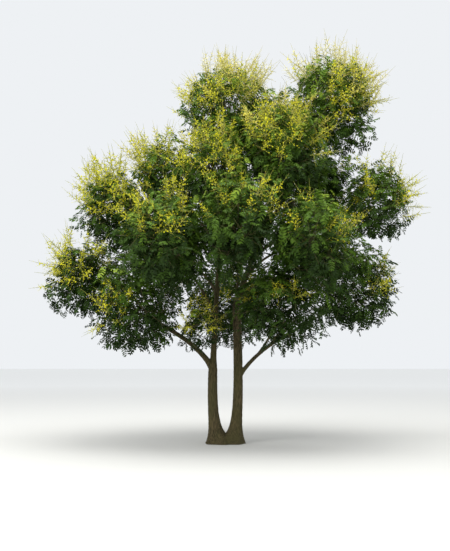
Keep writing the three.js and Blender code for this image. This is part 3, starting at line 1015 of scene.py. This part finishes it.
def add_node(tree, kind, values=None, **settings):
    """A new node with its settings and the values of its inputs, by name or number."""
    node = tree.nodes.new(kind)
    for name, setting in settings.items():
        setattr(node, name, setting)
    for name, value in (values or {}).items():
        node.inputs[name].default_value = value
    return node


def add_sockets(tree, side, kinds):
    """Named sockets for what a node group takes in or gives out."""
    for name, kind in kinds.items():
        tree.interface.new_socket(name, in_out=side, socket_type=f"NodeSocket{kind}")


# Setting shapes on points


def attribute(tree, name, kind):
    """What the points hold under a name."""
    node = add_node(tree, "GeometryNodeInputNamedAttribute", {"Name": name}, data_type=kind)
    return node.outputs["Attribute"]


def shapes_on_points(tree, given):
    """The nodes that set a shape on each point, by the point's turn, size and kind."""
    apart = {"Separate Children": True, "Reset Children": True}
    shapes = add_node(tree, "GeometryNodeCollectionInfo", apart)
    instances = add_node(tree, "GeometryNodeInstanceOnPoints", {"Pick Instance": True})
    scaled = add_node(tree, "ShaderNodeMath", operation="MULTIPLY")
    join = tree.links.new
    join(given.outputs["Points"], instances.inputs["Points"])
    join(given.outputs["Shapes"], shapes.inputs["Collection"])
    join(shapes.outputs["Instances"], instances.inputs["Instance"])
    join(attribute(tree, "kind", "INT"), instances.inputs["Instance Index"])
    join(attribute(tree, "turn", "FLOAT_VECTOR"), instances.inputs["Rotation"])
    join(attribute(tree, "size", "FLOAT"), scaled.inputs[0])
    join(given.outputs["Size"], scaled.inputs[1])
    join(scaled.outputs[0], instances.inputs["Scale"])
    return instances


def placing_nodes():
    """Geometry nodes that set one of some shapes on each point and give them all one finish."""
    tree = bpy.data.node_groups.new("set_on_points", "GeometryNodeTree")
    takes = {"Points": "Geometry", "Shapes": "Collection", "Finish": "Material", "Size": "Float"}
    add_sockets(tree, "INPUT", takes)
    add_sockets(tree, "OUTPUT", {"Geometry": "Geometry"})
    given = add_node(tree, "NodeGroupInput")
    instances = shapes_on_points(tree, given)
    realized = add_node(tree, "GeometryNodeRealizeInstances")
    finished = add_node(tree, "GeometryNodeSetMaterial")
    result = add_node(tree, "NodeGroupOutput")
    join = tree.links.new
    join(instances.outputs["Instances"], realized.inputs["Geometry"])
    join(realized.outputs["Geometry"], finished.inputs["Geometry"])
    join(given.outputs["Finish"], finished.inputs["Material"])
    join(finished.outputs["Geometry"], result.inputs["Geometry"])
    return tree


def set_on_points(name, placed, shapes, nodes, finish):
    """One piece that holds a shape at each of the places given."""
    piece = object_of(name, [spot.place for spot in placed], [])
    attributes = piece.data.attributes
    turns = attributes.new("turn", "FLOAT_VECTOR", "POINT")
    turns.data.foreach_set("vector", [angle for spot in placed for angle in spot.turn])
    sizes = attributes.new("size", "FLOAT", "POINT")
    sizes.data.foreach_set("value", [spot.size for spot in placed])
    kinds = attributes.new("kind", "INT", "POINT")
    kinds.data.foreach_set("value", [spot.kind for spot in placed])
    modifier = piece.modifiers.new("shapes", "NODES")
    modifier.node_group = nodes
    values = {"Shapes": shapes, "Finish": finish, "Size": SPRAY_SIZE}
    for socket in nodes.interface.items_tree:
        if socket.in_out == "INPUT" and socket.name in values:
            modifier[socket.identifier] = values[socket.name]
    return settle(piece)


def collection_of(name, shapes):
    """A collection that the scene doesn't show, for the shapes that points carry."""
    kept = bpy.data.collections.new(name)
    for shape in shapes:
        bpy.context.scene.collection.objects.unlink(shape)
        kept.objects.link(shape)
    return kept


def clear(kept):
    """Removes a collection with its shapes."""
    for shape in list(kept.objects):
        bpy.data.objects.remove(shape)
    bpy.data.collections.remove(kept)


# Materials


def colour(code):
    """A colour code such as #6b5e49 as the linear values that shaders take."""
    parts = [int(code[n : n + 2], 16) / 255 for n in (1, 3, 5)]
    return (*Color(parts).from_srgb_to_scene_linear(), 1)


def patch_mask(group, given):
    """The soft patches of the uneven colour group: noise, fitted and stretched, with a soft step."""
    place = add_node(group, "ShaderNodeTexCoord")
    stretched = add_node(group, "ShaderNodeVectorMath", operation="DIVIDE")
    inverse = add_node(group, "ShaderNodeMath", {0: 1}, operation="DIVIDE")
    fitted = add_node(group, "ShaderNodeVectorMath", operation="SCALE")
    patches = add_node(group, "ShaderNodeTexNoise", {"Scale": 1, "Detail": PATCH_DETAIL})
    low = add_node(group, "ShaderNodeMath", {0: PATCH_MIDDLE}, operation="SUBTRACT")
    high = add_node(group, "ShaderNodeMath", {0: PATCH_MIDDLE}, operation="ADD")
    edge = add_node(group, "ShaderNodeMapRange")
    join = group.links.new
    join(place.outputs["Object"], stretched.inputs[0])
    join(given.outputs["Stretch"], stretched.inputs[1])
    join(given.outputs["Patch Size"], inverse.inputs[1])
    join(stretched.outputs["Vector"], fitted.inputs["Vector"])
    join(inverse.outputs[0], fitted.inputs["Scale"])
    join(fitted.outputs["Vector"], patches.inputs["Vector"])
    join(given.outputs["Softness"], low.inputs[1])
    join(given.outputs["Softness"], high.inputs[1])
    join(patches.outputs["Fac"], edge.inputs["Value"])
    join(low.outputs[0], edge.inputs["From Min"])
    join(high.outputs[0], edge.inputs["From Max"])
    return edge.outputs["Result"]


def uneven_group():
    """Two colours that run into each other in soft patches, stretched as the caller wants."""
    group = bpy.data.node_groups.new("uneven_colour", "ShaderNodeTree")
    add_sockets(group, "INPUT", {"First Colour": "Color", "Second Colour": "Color"})
    add_sockets(group, "INPUT", {"Patch Size": "Float", "Stretch": "Vector", "Softness": "Float"})
    add_sockets(group, "OUTPUT", {"Colour": "Color", "Mask": "Float"})
    given = add_node(group, "NodeGroupInput")
    mask = patch_mask(group, given)
    mixed = add_node(group, "ShaderNodeMix", data_type="RGBA")
    result = add_node(group, "NodeGroupOutput")
    join = group.links.new
    join(mask, mixed.inputs["Factor"])
    join(given.outputs["First Colour"], mixed.inputs["A"])
    join(given.outputs["Second Colour"], mixed.inputs["B"])
    join(mixed.outputs["Result"], result.inputs["Colour"])
    join(mask, result.inputs["Mask"])
    return group


def uneven(tree, group, colours, patches):
    """Places the uneven colour group in a material with its two colours and its own patches."""
    values = {"First Colour": colour(colours[0]), "Second Colour": colour(colours[1]), **patches}
    return add_node(tree, "ShaderNodeGroup", values, node_tree=group)


def finish(name, kind):
    """A new material, its node tree and its surface shader."""
    material = bpy.data.materials.new(name)
    material.use_nodes = True
    surface = material.node_tree.nodes["Principled BSDF"]
    surface.inputs["Roughness"].default_value = FINISHES[kind]["roughness"]
    surface.inputs["Specular IOR Level"].default_value = FINISHES[kind]["specular"]
    return material, material.node_tree, surface


def bark_finish(group):
    """Grey brown bark with darker furrows along the limbs and a little moss over both."""
    material, tree, surface = finish("bark", "bark")
    streaks = uneven(tree, group, (BARK_COLOURS["furrow"], BARK_COLOURS["ridge"]), BARK_STREAKS)
    moss = uneven(tree, group, (BARK_COLOURS["ridge"], BARK_COLOURS["moss"]), BARK_MOSS)
    bump = add_node(tree, "ShaderNodeBump", BARK_BUMP)
    join = tree.links.new
    join(streaks.outputs["Colour"], moss.inputs["First Colour"])
    join(moss.outputs["Colour"], surface.inputs["Base Color"])
    join(streaks.outputs["Mask"], bump.inputs["Height"])
    join(bump.outputs["Normal"], surface.inputs["Normal"])
    return material


def plain_finish(name, kind, colours, group):
    """A matt finish of two near colours in round patches."""
    material, tree, surface = finish(name, kind)
    patches = uneven(tree, group, colours, {"Patch Size": FINISHES[kind]["patch"], **ROUND_PATCHES})
    tree.links.new(patches.outputs["Colour"], surface.inputs["Base Color"])
    return material


# The scene round the tree


def make_floor():
    """A plain pale floor, which pales towards the horizon."""
    corners = [(x * FLOOR_REACH, y * FLOOR_REACH, 0) for x, y in ((-1, -1), (1, -1), (1, 1), (-1, 1))]
    floor = object_of("floor", corners, [(0, 1, 2, 3)])
    material, tree, surface = finish("floor", "floor")
    place = add_node(tree, "ShaderNodeTexCoord")
    distance = add_node(tree, "ShaderNodeVectorMath", operation="LENGTH")
    fade = add_node(tree, "ShaderNodeMapRange", FLOOR_FADE)
    colours = {"A": colour(FLOOR_COLOURS["near"]), "B": colour(FLOOR_COLOURS["far"])}
    tint = add_node(tree, "ShaderNodeMix", colours, data_type="RGBA")
    join = tree.links.new
    join(place.outputs["Object"], distance.inputs[0])
    join(distance.outputs["Value"], fade.inputs["Value"])
    join(fade.outputs["Result"], tint.inputs["Factor"])
    join(tint.outputs["Result"], surface.inputs["Base Color"])
    floor.data.materials.append(material)


def make_light(name, place, size, power):
    light = bpy.data.lights.new(name, "AREA")
    light.size = size
    light.energy = power
    holder = bpy.data.objects.new(name, light)
    holder.location = place
    holder.rotation_euler = (LIGHTS_FACE - Vector(place)).to_track_quat("-Z", "Y").to_euler()
    bpy.context.scene.collection.objects.link(holder)


def make_lights():
    """A soft studio with a pale sky."""
    for name, light in LIGHTS.items():
        make_light(name, **light)
    world = bpy.data.worlds.new("studio")
    world.use_nodes = True
    world.node_tree.nodes["Background"].inputs["Color"].default_value = colour(SKY_COLOUR)
    world.node_tree.nodes["Background"].inputs["Strength"].default_value = 1
    bpy.context.scene.world = world
    bpy.context.scene.view_settings.view_transform = "Standard"


def make_camera():
    """A standing viewer's camera, in front of the stems and tipped up a little."""
    camera = bpy.data.cameras.new("camera")
    camera.lens = LENS
    camera.sensor_width = SENSOR_WIDTH
    camera.clip_end = FARTHEST_VIEW
    holder = bpy.data.objects.new("camera", camera)
    holder.location = CAMERA_PLACE
    holder.rotation_euler = (CAMERA_TIP, 0, 0)
    bpy.context.scene.collection.objects.link(holder)
    bpy.context.scene.camera = holder


# The tree


def grow_tree(limbs, spaces):
    """Everything that grows beyond the boughs: wood, leaves by tint and heads by tint."""
    wood = Facets()
    leaves = {tint: [] for tint in LEAF_TINTS}
    heads = {tint: [] for tint in HEAD_TINTS}
    for order, (name, space) in enumerate(spaces.items()):
        random = random_from((order + 1) * SEED_STEP)
        limb = limbs[name]
        stem = [limb.line.point(share) for share in even_shares(limb.end, 1, STEM_STEPS)]
        twig_tube(wood, stem, limb.radius_at(limb.end, None, 0), TIP_RADIUS, TWIG_SIDES)
        twigs = grow_twigs(name, limb, space, random)
        for twig in twigs:
            twig_tube(wood, [twig.start, twig.tip], TWIG_RADIUS, TWIG_TIP_RADIUS, TWIG_SIDES)
        for shoot in grow_shoots(name, twigs, spaces, random):
            line = [along_shoot(shoot, share) for share in even_shares(0, 1, SHOOT_STEPS)]
            twig_tube(wood, line, SHOOT_RADIUS, SHOOT_TIP_RADIUS, SHOOT_SIDES)
            # each shoot's leaves take a tint of painted shade or painted light from where the shoot
            # stands
            leaves[leaf_tint(shoot, space, random)] += grow_leaves(shoot, space, random)
            if shoot.flowers:
                heads[head_tint(shoot, space, random)] += grow_heads(shoot, space, random)
    return wood, leaves, heads


def dress(piece, nodes):
    """Fixes a piece to the tree and hides the solids that it stands for."""
    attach(piece, "root")
    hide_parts(*nodes)


def make_bark(limbs, group):
    """The trunk and the boughs, all of them in one skin."""
    bark = bark_skin(limbs)
    bark.data.materials.append(bark_finish(group))
    dress(bark, LIMB_NODES)


def make_twigs(wood, group):
    """The wood inside the masses: their stems, twigs and shoots."""
    twigs = wood.made("twigs")
    twigs.data.materials.append(plain_finish("twigs", "twigs", TWIG_COLOURS, group))
    twigs.data.shade_smooth()
    dress(twigs, FOLIAGE_NODES)


def make_leaves(leaves, nodes, group):
    """The leaves, one piece for each tint of painted shade or painted light."""
    shapes = [leaf_shape(kind, bend) for kind, bend in enumerate(LEAF_BENDS)]
    kinds_of_leaf = collection_of("kinds_of_leaf", shapes)
    for tint, placed in leaves.items():
        material = plain_finish(f"leaf_{tint}", "leaves", LEAF_TINTS[tint]["colours"], group)
        piece = set_on_points(f"leaves_{tint}", placed, kinds_of_leaf, nodes, material)
        dress(piece, FOLIAGE_NODES)
    clear(kinds_of_leaf)


def make_heads(heads, nodes, group):
    """The flower heads, one piece of flowers and one of stalks for each tint."""
    kinds = range(HEAD_KINDS)
    kinds_of_stalk = collection_of("kinds_of_stalk", [stalk_shape(kind) for kind in kinds])
    for tint, placed in heads.items():
        look = HEAD_TINTS[tint]
        shapes = [flowers_shape(tint, kind) for kind in kinds]
        kinds_of_flower = collection_of(f"kinds_of_flower_{tint}", shapes)
        material = plain_finish(f"flower_{tint}", "blossom", look["colours"], group)
        flowers = set_on_points(f"flowers_{tint}", placed, kinds_of_flower, nodes, material)
        clear(kinds_of_flower)
        dress(flowers, FOLIAGE_NODES)
        material = plain_finish(f"stalk_{tint}", "blossom", look["stalk"], group)
        stalks = set_on_points(f"stalks_{tint}", placed, kinds_of_stalk, nodes, material)
        dress(stalks, FOLIAGE_NODES)
    clear(kinds_of_stalk)


def make_tree():
    """The whole tree, from its limbs to its flower heads."""
    spaces = {name: Space(name) for name in MASSES}
    limbs = grow_limbs(spaces)
    group = uneven_group()
    make_bark(limbs, group)
    wood, leaves, heads = grow_tree(limbs, spaces)
    make_twigs(wood, group)
    nodes = placing_nodes()
    make_leaves(leaves, nodes, group)
    make_heads(heads, nodes, group)


make_camera()
make_lights()
make_floor()
make_tree()
